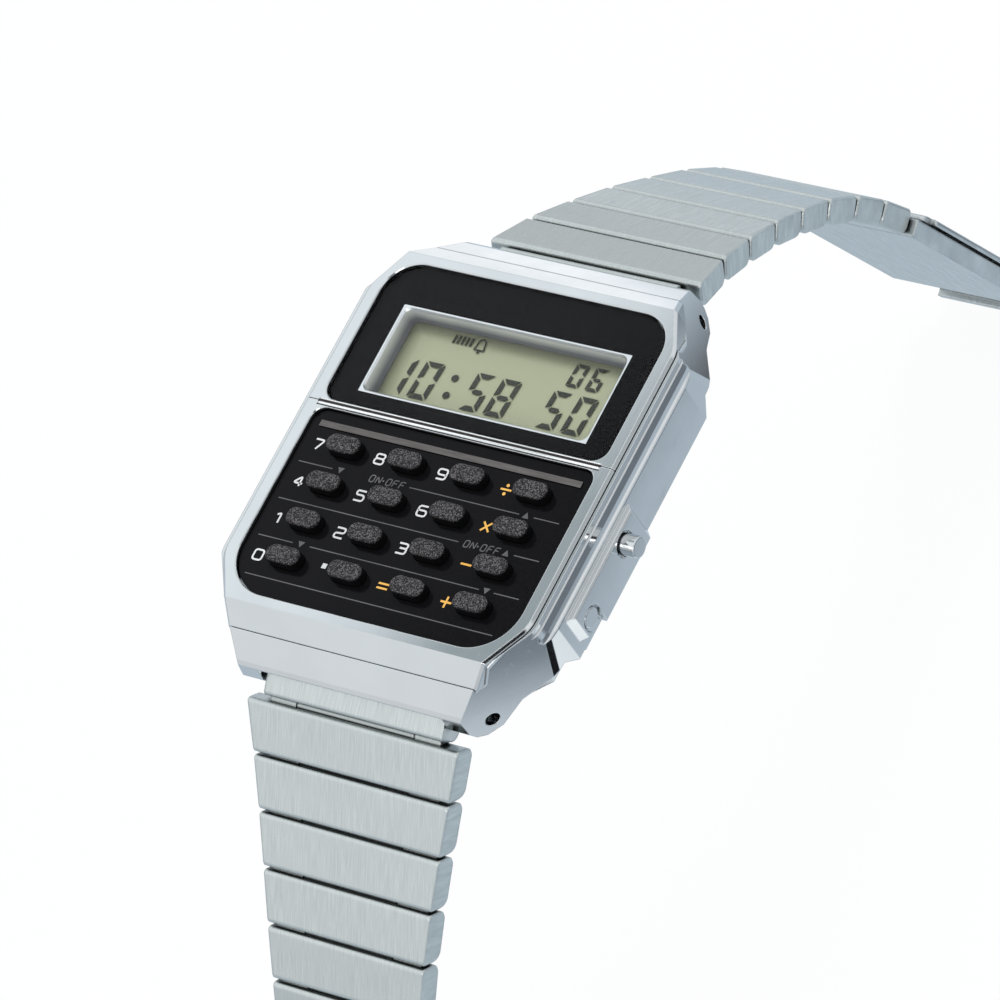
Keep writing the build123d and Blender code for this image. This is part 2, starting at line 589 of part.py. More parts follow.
# Bracelet pieces are drawn lying along +Y with the near pivot at the origin, then placed.
def near_hinge(piece, knuckle_x, cheek_x):
    """Cheeks and a fixed pin at the near pivot, around the neighbour's knuckle."""
    piece -= rod_x(KNUCKLE_RADIUS + PIVOT_FIT, -knuckle_x - SIDE_GAP, knuckle_x + SIDE_GAP, 0, 0)
    for side in (-1, 1):
        x0, x1 = sorted((side * (knuckle_x + SIDE_GAP), side * cheek_x))
        piece += rod_x(KNUCKLE_RADIUS, x0, x1, 0, 0)
        piece += block(x0, x1, 0, WEB_REACH, -WEB_HALF, WEB_HALF)
    return piece + rod_x(PIN_RADIUS, -knuckle_x - SIDE_GAP, knuckle_x + SIDE_GAP, 0, 0)


def far_hinge(piece, s, knuckle_x, cheek_x):
    """A bored knuckle at the far pivot and room beside it for the neighbour's cheeks."""
    for side in (-1, 1):
        x0, x1 = sorted((side * knuckle_x, side * (cheek_x + SIDE_GAP)))
        piece -= rod_x(KNUCKLE_RADIUS + PIVOT_FIT, x0, x1, s, 0)
    piece += rod_x(KNUCKLE_RADIUS, -knuckle_x, knuckle_x, s, 0)
    piece += block(-knuckle_x, knuckle_x, s - WEB_REACH, s, -WEB_HALF, WEB_HALF)
    return piece - rod_x(PIN_RADIUS + PIVOT_FIT, -knuckle_x - OVERRUN, knuckle_x + OVERRUN, s, 0)


def link_bar(near_x, far_x, length):
    bar = block(-near_x, near_x, LINK_GAP / 2, length - LINK_GAP / 2, -LINK_HALF, LINK_HALF)
    ends = bar.edges().filter_by(Axis.X)
    bar = fillet([e for e in ends if e.center().Z < 0], LINK_ROUND)
    upper = [e for e in bar.edges().filter_by(Axis.X) if e.center().Z > LINK_HALF - SEAM]
    bar = fillet(upper, LINK_OUTER_ROUND)
    taper = plan([(-near_x, 0), (near_x, 0), (far_x, length), (-far_x, length)], -LINK_HALF, LINK_HALF)
    bar = bar & taper
    rims = [e for e in bar.edges() if abs(e.center().X) > far_x / 2 and e.length > LINK_HALF / 2]
    return chamfer(rims, EDGE_CHAMFER)


def link(near_x, far_x):
    piece = link_bar(near_x, far_x, PITCH)
    piece = near_hinge(piece, near_x * KNUCKLE_SHARE, min(near_x - CHEEK_INSET, END_LINK_CHEEK_X))
    return far_hinge(piece, PITCH, far_x * KNUCKLE_SHARE, far_x - CHEEK_INSET)


def end_link():
    piece = block(-END_LINK_X, END_LINK_X, 0, END_PITCH - LINK_GAP / 2, -LINK_HALF, LINK_HALF)
    for reach, side in ((LINK_ROUND, -1), (LINK_OUTER_ROUND, 1)):
        far = [e for e in piece.edges().filter_by(Axis.X)
               if e.center().Y > END_PITCH / 2 and side * e.center().Z > LINK_HALF - SEAM]
        piece = fillet(far, reach)
    piece += rod_x(LINK_HALF, -END_LINK_X, END_LINK_X, 0, 0)
    piece -= rod_x(BAR_RADIUS + PIVOT_FIT, -END_LINK_X - OVERRUN, END_LINK_X + OVERRUN, 0, 0)
    return far_hinge(piece, END_PITCH, LINK_WIDTHS[0] * KNUCKLE_SHARE, END_LINK_CHEEK_X)


def placed(piece, y, z, heading, lower):
    piece = Pos(0, y, z) * Rot(heading, 0, 0) * piece
    if lower:
        piece = mirror(piece, Plane.XZ)
    return piece


def advance(y, z, heading, length):
    angle = math.radians(heading)
    return y + length * math.cos(angle), z + length * math.sin(angle)


def half(prefix, end_heading, headings, lower):
    y, z = LUG_PIN_Y, LUG_PIN_Z
    save(prefix + "_end_link", placed(end_link(), y, z, end_heading, lower))
    y, z = advance(y, z, end_heading, END_PITCH)
    for number, heading in enumerate(headings):
        piece = link(LINK_WIDTHS[number], LINK_WIDTHS[number + 1])
        save(prefix + "_link_" + str(number + 1), placed(piece, y, z, heading, lower))
        y, z = advance(y, z, heading, PITCH)
    return y, z


bars = []
for side in (-1, 1):
    bar = rod_x(BAR_RADIUS, -BAR_TUBE_X, BAR_TUBE_X, side * LUG_PIN_Y, LUG_PIN_Z)
    bars.append(bar + rod_x(BAR_TIP_RADIUS, -BAR_TIP_X, BAR_TIP_X, side * LUG_PIN_Y, LUG_PIN_Z))
save("spring_bars", Compound(children=bars))
clasp_y, clasp_z = half("upper", UPPER_END_HEADING, UPPER_HEADINGS, False)
ladder_y, ladder_z = half("lower", LOWER_END_HEADING, LOWER_HEADINGS, True)

# Clasp: a channel on the last upper link, a cover over it and a hook at its free end.
near_x = LINK_WIDTHS[len(UPPER_HEADINGS)]
near_knuckle = near_x * KNUCKLE_SHARE
near_cheek = near_x - CHEEK_INSET
hook_knuckle = HOOK_X * KNUCKLE_SHARE
hook_cheek = HOOK_X - CHEEK_INSET / 2
clasp = block(-CLASP_X, CLASP_X, LINK_GAP / 2, CLASP_LENGTH - LINK_GAP / 2, CLASP_BASE_LOW, CLASP_BASE_HIGH)
clasp += block(-CLASP_X, CLASP_X, LINK_GAP / 2, CLASP_WALL_START, CLASP_BASE_LOW, CLASP_WALL_TOP)
clasp += block(-CLASP_X, CLASP_X, CLASP_LENGTH - CLASP_END_BLOCK, CLASP_LENGTH - LINK_GAP / 2,
               CLASP_BASE_LOW, CLASP_WALL_TOP)
for side in (-1, 1):
    wall_x = sorted((side * CLASP_X, side * (CLASP_X - CLASP_WALL)))
    clasp += block(wall_x[0], wall_x[1], LINK_GAP / 2, CLASP_LENGTH - LINK_GAP / 2,
                   CLASP_BASE_LOW, CLASP_WALL_TOP)
low_end = [e for e in clasp.edges().filter_by(Axis.X) if abs(e.center().Z - CLASP_BASE_LOW) < SEAM]
clasp = fillet(low_end, KNUCKLE_RADIUS / 2)
clasp += rod_x(PIN_RADIUS, -CLASP_X + CLASP_WALL, CLASP_X - CLASP_WALL, COVER_PIVOT_S, COVER_PIVOT_N)
clasp = near_hinge(clasp, near_knuckle, near_cheek)
clasp = far_hinge(clasp, CLASP_LENGTH, hook_knuckle, hook_cheek)
save("clasp_body", placed(clasp, clasp_y, clasp_z, CLASP_HEADING, False))
cover = block(-CLASP_X, CLASP_X, COVER_START, COVER_END, COVER_BASE, COVER_TOP)
cover = fillet([e for e in cover.edges().filter_by(Axis.Z)], COVER_ROUND)
cover = fillet(cover.faces().sort_by(Axis.Z)[-1].edges(), COVER_LIP)
for side in (-1, 1):
    x0, x1 = sorted((side * COVER_EAR_IN, side * COVER_EAR_OUT))
    cover += rod_x(KNUCKLE_RADIUS, x0, x1, COVER_PIVOT_S, COVER_PIVOT_N)
    cover += block(x0, x1, COVER_PIVOT_S - WEB_HALF, COVER_PIVOT_S + WEB_HALF, COVER_PIVOT_N, COVER_BASE)
cover -= rod_x(PIN_RADIUS + PIVOT_FIT, -CLASP_X, CLASP_X, COVER_PIVOT_S, COVER_PIVOT_N)
for side in (-1, 1):
    x0, x1 = sorted((side * COVER_NECK_X, side * (CLASP_X + OVERRUN)))
    cover -= block(x0, x1, COVER_START - OVERRUN, COVER_PIVOT_S + COVER_NECK_LENGTH, 0, COVER_TOP + OVERRUN)
save("clasp_cover", placed(cover, clasp_y, clasp_z, CLASP_HEADING, False))
hook_y, hook_z = advance(clasp_y, clasp_z, CLASP_HEADING, CLASP_LENGTH)
hook = block(-HOOK_X, HOOK_X, LINK_GAP / 2, HOOK_LENGTH, -HOOK_HALF, HOOK_HALF)
hook += block(-HOOK_X, HOOK_X, HOOK_LENGTH - HOOK_CLAW, HOOK_LENGTH, -HOOK_CLAW_DROP, HOOK_HALF)
hook = near_hinge(hook, hook_knuckle, hook_cheek)
save("clasp_hook", placed(hook, hook_y, hook_z, HOOK_HEADING, False))

# Ladder: the slotted plate on the last lower link that the hook catches.
near_x = LINK_WIDTHS[len(LOWER_HEADINGS)]
ladder = block(-LADDER_X, LADDER_X, LINK_GAP / 2, LADDER_LENGTH, -LADDER_HALF, LADDER_HALF)
for number in range(LADDER_SLOTS):
    s = LADDER_FIRST + number * LADDER_SLOT_PITCH
    ladder -= block(-LADDER_SLOT_X, LADDER_SLOT_X, s, s + LADDER_SLOT_LENGTH, -LINK_HALF, LINK_HALF)
ladder += rod_x(LADDER_ROLL, -LADDER_X, LADDER_X, LADDER_LENGTH, 0)
ladder += block(-near_x, near_x, LINK_GAP, LADDER_FIRST - LADDER_SLOT_LENGTH, -LADDER_HALF, LADDER_HALF)
ladder = near_hinge(ladder, near_x * KNUCKLE_SHARE, near_x - CHEEK_INSET)
save("ladder_plate", placed(ladder, ladder_y, ladder_z, LADDER_HEADING, True))
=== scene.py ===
import json
import math

import bmesh
import bpy
from mathutils import Matrix, Vector


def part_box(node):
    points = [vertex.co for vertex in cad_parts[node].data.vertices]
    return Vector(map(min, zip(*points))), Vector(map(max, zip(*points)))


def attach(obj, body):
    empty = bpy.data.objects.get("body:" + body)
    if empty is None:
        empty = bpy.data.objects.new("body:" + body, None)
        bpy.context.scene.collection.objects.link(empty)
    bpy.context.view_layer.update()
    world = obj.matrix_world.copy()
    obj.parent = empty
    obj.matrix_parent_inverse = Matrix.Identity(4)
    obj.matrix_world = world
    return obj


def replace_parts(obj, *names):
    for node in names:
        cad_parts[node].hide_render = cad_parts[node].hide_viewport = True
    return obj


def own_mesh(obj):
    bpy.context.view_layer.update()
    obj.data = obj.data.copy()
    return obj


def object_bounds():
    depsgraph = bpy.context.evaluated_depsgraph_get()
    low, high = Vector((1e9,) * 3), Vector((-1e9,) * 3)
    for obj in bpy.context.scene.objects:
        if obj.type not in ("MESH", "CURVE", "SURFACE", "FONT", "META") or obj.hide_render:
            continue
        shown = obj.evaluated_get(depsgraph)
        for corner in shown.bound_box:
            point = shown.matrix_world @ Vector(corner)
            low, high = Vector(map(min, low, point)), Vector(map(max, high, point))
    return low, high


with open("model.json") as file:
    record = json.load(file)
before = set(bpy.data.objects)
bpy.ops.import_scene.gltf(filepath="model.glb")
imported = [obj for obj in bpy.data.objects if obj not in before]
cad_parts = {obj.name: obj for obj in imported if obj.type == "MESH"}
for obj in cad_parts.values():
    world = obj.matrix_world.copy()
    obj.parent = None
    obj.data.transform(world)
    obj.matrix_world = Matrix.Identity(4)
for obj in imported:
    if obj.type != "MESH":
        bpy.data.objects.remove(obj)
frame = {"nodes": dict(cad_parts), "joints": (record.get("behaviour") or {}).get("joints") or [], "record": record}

CAD_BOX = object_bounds()

# Shapes are given in millimetres. MM and MICRON turn lengths into metres.
MM = 0.001
MICRON = 0.000001

# Upper faces of the CAD pieces that carry print or thin relief.
CELL_TOP = 5.70
PLATE_TOP = 7.75
BEZEL_TOP = 8.20


# ---- colours and nodes ----

def linear(r, g, b):
    """A colour given by its linear channels."""
    return (r, g, b, 1.0)


def rgb(r, g, b):
    """Display values from 0 to 255 as a linear colour."""
    return linear(*(((c / 255 + 0.055) / 1.055) ** 2.4 if c > 10 else c / 255 / 12.92
                    for c in (r, g, b)))


def dimmed(colour, factor):
    """The colour with its three channels multiplied by factor."""
    return linear(*(c * factor for c in colour[:3]))


class Nodes:
    """The node tree of a new material or world, with short calls."""

    def __init__(self, name, kind="Material", place="Object"):
        self.owner = (bpy.data.worlds if kind == "World" else bpy.data.materials).new(name)
        self.owner.use_nodes = True
        self.tree = self.owner.node_tree
        self.tree.nodes.clear()
        self.out = self.new("ShaderNodeOutput" + kind)
        self.place = self.new("ShaderNodeTexCoord").outputs[place]

    def new(self, kind, **values):
        node = self.tree.nodes.new(kind)
        for key, value in values.items():
            setattr(node, key, value)
        return node

    def put(self, value, socket):
        """Links a socket, or sets a plain value."""
        if isinstance(value, bpy.types.NodeSocket):
            self.tree.links.new(value, socket)
        else:
            socket.default_value = value

    def noise(self, scale, seed, detail=2.0, rough=0.5):
        """Noise whose scale is given per metre, as one number or one for each axis."""
        mapping = self.new("ShaderNodeMapping")
        mapping.inputs["Scale"].default_value = scale if isinstance(scale, tuple) else (scale,) * 3
        mapping.inputs["Location"].default_value = (seed, seed * 1.7, seed * 0.6)
        self.put(self.place, mapping.inputs["Vector"])
        noise = self.new("ShaderNodeTexNoise")
        noise.inputs["Scale"].default_value = 1.0
        noise.inputs["Detail"].default_value = detail
        noise.inputs["Roughness"].default_value = rough
        self.put(mapping.outputs[0], noise.inputs["Vector"])
        return noise.outputs[0]

    def span(self, value, a, b, low, high):
        """value from a to b becomes low to high, and stays there beyond."""
        node = self.new("ShaderNodeMapRange")
        for key, v in (("From Min", a), ("From Max", b), ("To Min", low), ("To Max", high)):
            node.inputs[key].default_value = v
        self.put(value, node.inputs["Value"])
        return node.outputs[0]

    def texture(self, noise, low, high):
        """Noise as a value from low to high, with most of its contrast kept."""
        return self.span(noise, 0.3, 0.7, low, high)

    def clouds(self, noise, low, high):
        """Noise as a value from low to high, in patches with firmer edges."""
        return self.span(noise, 0.35, 0.65, low, high)

    def math(self, kind, a, b=0.0):
        node = self.new("ShaderNodeMath", operation=kind)
        self.put(a, node.inputs[0])
        self.put(b, node.inputs[1])
        return node.outputs[0]

    def mix(self, factor, a, b):
        """Colour a where factor is 0, colour b where it is 1."""
        node = self.new("ShaderNodeMix", data_type="RGBA")
        self.put(factor, node.inputs["Factor"])
        self.put(a, node.inputs["A"])
        self.put(b, node.inputs["B"])
        return node.outputs["Result"]

    def blend(self, factor, a, b):
        """Shader a where factor is 0, shader b where it is 1."""
        node = self.new("ShaderNodeMixShader")
        for value, socket in zip((factor, a, b), node.inputs):
            self.put(value, socket)
        return node.outputs[0]

    def axis(self, index):
        split = self.new("ShaderNodeSeparateXYZ")
        self.put(self.place, split.inputs[0])
        return split.outputs[index]

    def worn_edges(self, radius):
        """Normals that run softly over edges, as if those had the radius."""
        node = self.new("ShaderNodeBevel", samples=6)
        node.inputs["Radius"].default_value = radius
        return node.outputs[0]

    def bump(self, height, distance, under=None):
        """A relief of that distance, on the normals under it."""
        node = self.new("ShaderNodeBump")
        node.inputs["Distance"].default_value = distance
        node.inputs["Strength"].default_value = 1.0
        self.put(height, node.inputs["Height"])
        if under is not None:
            self.put(under, node.inputs["Normal"])
        return node.outputs[0]

    def glow(self, colour):
        node = self.new("ShaderNodeEmission")
        self.put(colour, node.inputs["Color"])
        return node.outputs[0]

    def finish(self, shader):
        """The material or world, with the shader as its surface."""
        self.put(shader, self.out.inputs["Surface"])
        return self.owner

    def surface(self, **values):
        """The finished Principled material, with underscores in place of socket names' spaces."""
        shader = self.new("ShaderNodeBsdfPrincipled")
        for key, value in values.items():
            self.put(value, shader.inputs[key.replace("_", " ")])
        return self.finish(shader.outputs[0])


# ---- materials ----

def brushed(name, light, dark, rough, streak, seed):
    """Steel with fine streaks and painted shade in its crevices; streak is the noise scale per metre along each
    axis.
    """
    n = Nodes(name)
    fine = n.noise(streak, seed, rough=0.6)
    broad = n.noise(90.0, seed + 3.0)
    tone = n.mix(n.texture(fine, 0.0, 1.0), dark, light)
    tone = n.mix(n.clouds(broad, 0.0, 0.10), tone, dark)
    # Painted shade: the colour turns almost black where ambient occlusion finds crevices and narrow gaps, such as
    # those between links.
    crevice_shade = n.new("ShaderNodeAmbientOcclusion", samples=6)
    crevice_shade.inputs["Distance"].default_value = 0.7 * MM
    unshaded_share = n.span(crevice_shade.outputs["AO"], 0.25, 0.75, 0.0, 1.0)
    tone = n.mix(unshaded_share, dimmed(dark, 0.10), tone)
    return n.surface(Base_Color=tone, Metallic=1.0,
                     Roughness=n.texture(fine, rough + 0.07, rough - 0.05),
                     Normal=n.bump(fine, 4 * MICRON, under=n.worn_edges(0.28 * MM)))


def polished(name, tone, rough, seed):
    """Polished steel with a faint bloom and hairline scratches."""
    n = Nodes(name)
    bloom = n.noise(160.0, seed, detail=3.0, rough=0.6)
    hair = n.noise((4000.0, 300.0, 1500.0), seed + 5.0, rough=0.7)
    colour = n.mix(n.clouds(bloom, 0.0, 1.0), tone, dimmed(tone, 0.965))
    scratches = n.span(hair, 0.62, 0.75, 0.0, 0.06)
    wear = n.math("ADD", n.texture(bloom, rough - 0.02, rough + 0.03), scratches)
    return n.surface(Base_Color=colour, Metallic=1.0, Roughness=wear,
                     Normal=n.bump(hair, 0.6 * MICRON, under=n.worn_edges(0.12 * MM)))


def moulded(name, tone, other, rough, grain, seed, gloss=0.5, depth=10 * MICRON):
    """Plastic, rubber or print with a fine grain, drifting between two colours."""
    n = Nodes(name)
    fine = n.noise(grain, seed, detail=3.0, rough=0.6)
    broad = n.noise(220.0, seed + 2.0)
    return n.surface(Base_Color=n.mix(n.clouds(broad, 0.0, 1.0), tone, other),
                     Roughness=n.texture(fine, rough - 0.06, rough + 0.06),
                     Normal=n.bump(fine, depth), Specular_IOR_Level=gloss)


def window_glass():
    """Clear glass that reflects little, with faint smears."""
    n = Nodes("window_glass")
    clear = n.new("ShaderNodeBsdfTransparent")
    clear.inputs["Color"].default_value = linear(0.98, 0.985, 0.98)
    shine = n.new("ShaderNodeBsdfGlossy")
    n.put(n.texture(n.noise(140.0, 4.0), 0.02, 0.07), shine.inputs["Roughness"])
    fresnel = n.new("ShaderNodeFresnel")
    fresnel.inputs["IOR"].default_value = 1.12
    return n.finish(n.blend(fresnel.outputs[0], clear.outputs[0], shine.outputs[0]))


VIEW_MIDDLE_Y = 8.17
VIEW_HALF_X, VIEW_HALF_Y = 11.08, 4.01
VIEW_RIM = 0.30
VIEW_WALL_TOP = 7.52


def window_mask():
    """Black print under the glass, with plated walls and a plated rim round the view; the walls carry painted
    shade, darker towards the bottom.
    """
    n = Nodes("window_mask")
    away_x = n.math("SUBTRACT", n.math("ABSOLUTE", n.axis(0)), VIEW_HALF_X * MM)
    from_middle = n.math("SUBTRACT", n.axis(1), VIEW_MIDDLE_Y * MM)
    away_y = n.math("SUBTRACT", n.math("ABSOLUTE", from_middle), VIEW_HALF_Y * MM)
    plated = n.math("LESS_THAN", n.math("MAXIMUM", away_x, away_y), VIEW_RIM * MM)
    fine = n.noise(2600.0, 6.0)
    grain = n.math("MULTIPLY", fine, n.math("SUBTRACT", 1.0, plated))
    black = n.mix(n.texture(fine, 0.0, 1.0), rgb(11, 10, 12), rgb(17, 15, 18))
    # Painted shade on the plated walls: lighter at the top, darker towards the bottom of the opening.
    height = n.span(n.axis(2), 6.3 * MM, 7.4 * MM, 0.0, 1.0)
    painted_shade_plating = n.mix(height, rgb(150, 150, 162), rgb(246, 246, 250))
    walls = n.math("LESS_THAN", n.axis(2), VIEW_WALL_TOP * MM)
    metal = n.math("SUBTRACT", 1.0, n.math("MULTIPLY", walls, 0.75))
    rough = n.math("ADD", n.texture(grain, 0.14, 0.22), n.math("MULTIPLY", plated, 0.20))
    return n.surface(Base_Color=n.mix(plated, black, painted_shade_plating),
                     Metallic=n.math("MULTIPLY", plated, metal), Roughness=rough,
                     Normal=n.bump(grain, 0.2 * MICRON), Specular_IOR_Level=0.06)


def lcd():
    """Grey-green display glass with painted shadow, darker towards its sides and its upper edge."""
    n = Nodes("lcd")
    fine = n.noise(9000.0, 7.0)
    edge_x = n.span(n.math("ABSOLUTE", n.axis(0)), 9.6 * MM, 11.1 * MM, 0.0, 1.0)
    edge_y = n.span(n.axis(1), 10.9 * MM, 12.2 * MM, 0.0, 1.0)
    shadow = n.math("MAXIMUM", edge_x, edge_y)
    tone = n.mix(shadow, rgb(167, 169, 142), rgb(112, 114, 94))
    tone = n.mix(n.texture(fine, 0.0, 0.14), tone, rgb(150, 153, 128))
    return n.surface(Base_Color=tone, Roughness=n.texture(fine, 0.42, 0.55),
                     Normal=n.bump(fine, MICRON))


def keypad_panel():
    """Gloss black plate; the raised bar across its top is grey."""
    n = Nodes("keypad_panel")
    raised = n.math("GREATER_THAN", n.axis(2), (PLATE_TOP + 0.09) * MM)
    fine = n.noise(3000.0, 8.0, detail=3.0)
    hair = n.noise((500.0, 5000.0, 500.0), 9.0, rough=0.6)
    black = n.mix(n.texture(fine, 0.0, 1.0), rgb(11, 10, 12), rgb(16, 14, 16))
    grey = n.mix(n.texture(hair, 0.0, 1.0), rgb(84, 81, 80), rgb(100, 97, 95))
    rough = n.math("ADD", n.texture(fine, 0.10, 0.17), n.math("MULTIPLY", raised, 0.20))
    return n.surface(Base_Color=n.mix(raised, black, grey), Roughness=rough,
                     Normal=n.bump(fine, 0.4 * MICRON), Specular_IOR_Level=0.09)


def key_cap():
    """Grained tops with smooth darker sides."""
    n = Nodes("key_cap")
    top = n.span(n.axis(2), 8.56 * MM, 8.74 * MM, 0.0, 1.0)
    grain = n.noise(9000.0, 10.0, rough=0.6)
    fleck = n.span(grain, 0.50, 0.58, 0.0, 1.0)
    flecked = n.mix(fleck, rgb(15, 14, 15), rgb(98, 94, 96))
    return n.surface(Base_Color=n.mix(top, rgb(10, 10, 11), flecked),
                     Roughness=n.span(top, 0.0, 1.0, 0.26, 0.62),
                     Normal=n.bump(n.math("MULTIPLY", grain, top), 100 * MICRON),
                     Specular_IOR_Level=0.3)


ALONG_LINK = (17000.0, 420.0, 420.0)
# Slot: light tone, dark tone, roughness, streaks, seed.
STEELS = {
    "bracelet_steel": (rgb(207, 211, 209), rgb(190, 194, 193), 0.30, ALONG_LINK, 2.0),
    "clasp_steel": (rgb(205, 209, 209), rgb(186, 190, 191), 0.29, ALONG_LINK, 3.0),
    "cell_steel": (rgb(214, 214, 210), rgb(182, 182, 178), 0.24, (500.0, 6000.0, 500.0), 8.0),
    "clip_steel": (rgb(200, 200, 198), rgb(166, 166, 165), 0.30, (400.0, 7000.0, 400.0), 9.0),
    "buzzer_brass": (rgb(208, 178, 110), rgb(180, 148, 84), 0.30, 3000.0, 10.0),
    "back_steel": (rgb(206, 212, 214), rgb(186, 192, 195), 0.28, (260.0, 13000.0, 260.0), 11.0),
    "screw_steel": (rgb(196, 199, 201), rgb(160, 163, 166), 0.26, 2600.0, 13.0),
    "spring_steel": (rgb(190, 193, 196), rgb(158, 161, 164), 0.26, (6000.0, 900.0, 900.0), 14.0),
    "bar_steel": (rgb(200, 204, 206), rgb(168, 172, 175), 0.26, (700.0, 7000.0, 7000.0), 15.0),
}
# Slot: tone, other tone, roughness, grain per metre, seed.
PLASTICS = {
    "connector_rubber": (rgb(214, 170, 168), rgb(186, 140, 140), 0.62, 6000.0, 4.0),
    "mat_rubber": (rgb(58, 58, 60), dimmed(rgb(58, 58, 60), 0.8), 0.66, 5000.0, 5.0),
    "board": (rgb(28, 92, 58), rgb(20, 70, 46), 0.42, 1800.0, 6.0),
    "module_plastic": (rgb(44, 44, 46), dimmed(rgb(44, 44, 46), 0.8), 0.50, 4200.0, 7.0),
    "gasket_rubber": (rgb(26, 26, 27), dimmed(rgb(26, 26, 27), 0.8), 0.60, 5200.0, 12.0),
}
finishes = {
    "polished_case": polished("polished_case", rgb(207, 209, 210), 0.08, 1.0),
    "window_glass": window_glass(),
    "window_mask": window_mask(),
    "lcd": lcd(),
    "keypad_panel": keypad_panel(),
    "key_cap": key_cap(),
}
finishes.update({slot: brushed(slot, *values) for slot, values in STEELS.items()})
finishes.update({slot: moulded(slot, *values) for slot, values in PLASTICS.items()})
for part in frame["record"]["subparts"]:
    node = frame["nodes"][part["node"]]
    if not node.material_slots:
        node.data.materials.append(None)
    for entry in node.material_slots:
        entry.material = finishes[part["material_slot"]]


def label(name, tone, other, rough, seed, depth=2 * MICRON):
    return moulded(name, tone, other, rough, 5000.0, seed, depth=depth)


white_print = label("label_white", rgb(214, 214, 212), rgb(200, 200, 199), 0.45, 20.0)
gold_print = label("label_gold", rgb(232, 178, 84), rgb(222, 164, 70), 0.40, 21.0)
grey_print = label("label_dim", rgb(92, 90, 91), rgb(82, 80, 81), 0.45, 22.0)
segment_print = label("lcd_segment", rgb(50, 52, 44), rgb(42, 44, 38), 0.40, 23.0,
                      depth=MICRON)


# ---- flat marks ----

SAME_POINT = 0.001
CORNER_STEPS = 5
LAYER = 0.003       # strokes that cross lie at different heights, so that no faces coincide


def rounded(points, radius, closed=False):
    """A polyline with its corners turned on curves."""
    count = len(points)
    out = []
    for i, p in enumerate(points):
        here = Vector(p)
        if not closed and i in (0, count - 1):
            out.append(here)
            continue
        before = Vector(points[i - 1]) - here
        after = Vector(points[(i + 1) % count]) - here
        r = min(radius, before.length / 2, after.length / 2)
        a = here + before.normalized() * r
        b = here + after.normalized() * r
        for k in range(CORNER_STEPS + 1):
            t = k / CORNER_STEPS
            out.append((1 - t) ** 2 * a + 2 * t * (1 - t) * here + t * t * b)
    return [p for i, p in enumerate(out)
            if i == 0 and not closed or (p - out[i - 1]).length > SAME_POINT]


def ribbon(bm, points, width, low, high, closed=False):
    """A flat line of that width along the points, from low to high."""
    count = len(points)
    rings = []
    for i, p in enumerate(points):
        before = points[i - 1] if closed or i > 0 else None
        after = points[(i + 1) % count] if closed or i < count - 1 else None
        way_in = (p - before).normalized() if before is not None else (after - p).normalized()
        way_out = (after - p).normalized() if after is not None else way_in
        along = (way_in + way_out).normalized()
        side = Vector((-along.y, along.x))
        reach = width / 2 / max(0.5, side.dot(Vector((-way_in.y, way_in.x))))
        ring = []
        for sign, z in ((1, low), (-1, low), (-1, high), (1, high)):
            q = p + side * reach * sign
            ring.append(bm.verts.new((q.x * MM, q.y * MM, z * MM)))
        rings.append(ring)
    for i in range(count if closed else count - 1):
        a, b = rings[i], rings[(i + 1) % count]
        for k in range(4):
            bm.faces.new((a[k], a[(k + 1) % 4], b[(k + 1) % 4], b[k]))
    if not closed:
        bm.faces.new(rings[0][::-1])
        bm.faces.new(rings[-1])


def patch(bm, points, low, high):
    """A flat shape with straight sides, from low to high."""
    bottom = [bm.verts.new((x * MM, y * MM, low * MM)) for x, y in points]
    top = [bm.verts.new((x * MM, y * MM, high * MM)) for x, y in points]
    bm.faces.new(top)
    bm.faces.new(bottom[::-1])
    for i in range(len(points)):
        k = (i + 1) % len(points)
        bm.faces.new((bottom[i], bottom[k], top[k], top[i]))


def disc(x, y, radius, count=20):
    angles = [2 * math.pi * i / count for i in range(count)]
    return [(x + radius * math.cos(angle), y + radius * math.sin(angle)) for angle in angles]


def piece(name, bm, material, body="case"):
    """The finished object, on its body and in its slot."""
    bmesh.ops.recalc_face_normals(bm, faces=bm.faces)
    mesh = bpy.data.meshes.new(name)
    bm.to_mesh(mesh)
    bm.free()
    made = bpy.data.objects.new(name, mesh)
    bpy.context.scene.collection.objects.link(made)
    mesh.materials.append(material)
    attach(made, body)
    return made


# Each character's strokes in a unit box, with whether the stroke is closed.
STROKES = {
    "0": [([(0, 0), (1, 0), (1, 1), (0, 1)], True)],
    "1": [([(0.22, 0.80), (0.62, 1), (0.62, 0)], False)],
    "2": [([(0, 1), (1, 1), (1, 0.52), (0, 0.46), (0, 0), (1, 0)], False)],
    "3": [([(0, 1), (1, 1), (1, 0.53), (0.22, 0.53)], False),
          ([(0.80, 0.53), (1, 0.53), (1, 0), (0, 0)], False)],
    "4": [([(0.74, 0), (0.74, 1), (0, 0.28), (1, 0.28)], False)],
    "5": [([(1, 1), (0.04, 1), (0.04, 0.58), (1, 0.58), (1, 0), (0, 0)], False)],
    "6": [([(0.94, 1), (0, 1), (0, 0), (1, 0), (1, 0.56), (0, 0.56)], False)],
    "7": [([(0, 1), (1, 1), (0.38, 0)], False)],
    "8": [([(0.04, 0.54), (0.96, 0.54), (0.96, 1), (0.04, 1)], True),
          ([(0, 0), (1, 0), (1, 0.54), (0, 0.54)], True)],
    "9": [([(0.06, 0), (1, 0), (1, 1), (0, 1), (0, 0.44), (1, 0.44)], False)],
    "O": [([(0, 0), (1, 0), (1, 1), (0, 1)], True)],
    "N": [([(0, 0), (0, 1), (1, 0), (1, 1)], False)],
    "F": [([(0, 0), (0, 1), (1, 1)], False), ([(0, 0.52), (0.85, 0.52)], False)],
}
CORNER_SHARE = 0.24     # radius of a character's corners, as a share of its height


# ---- display ----

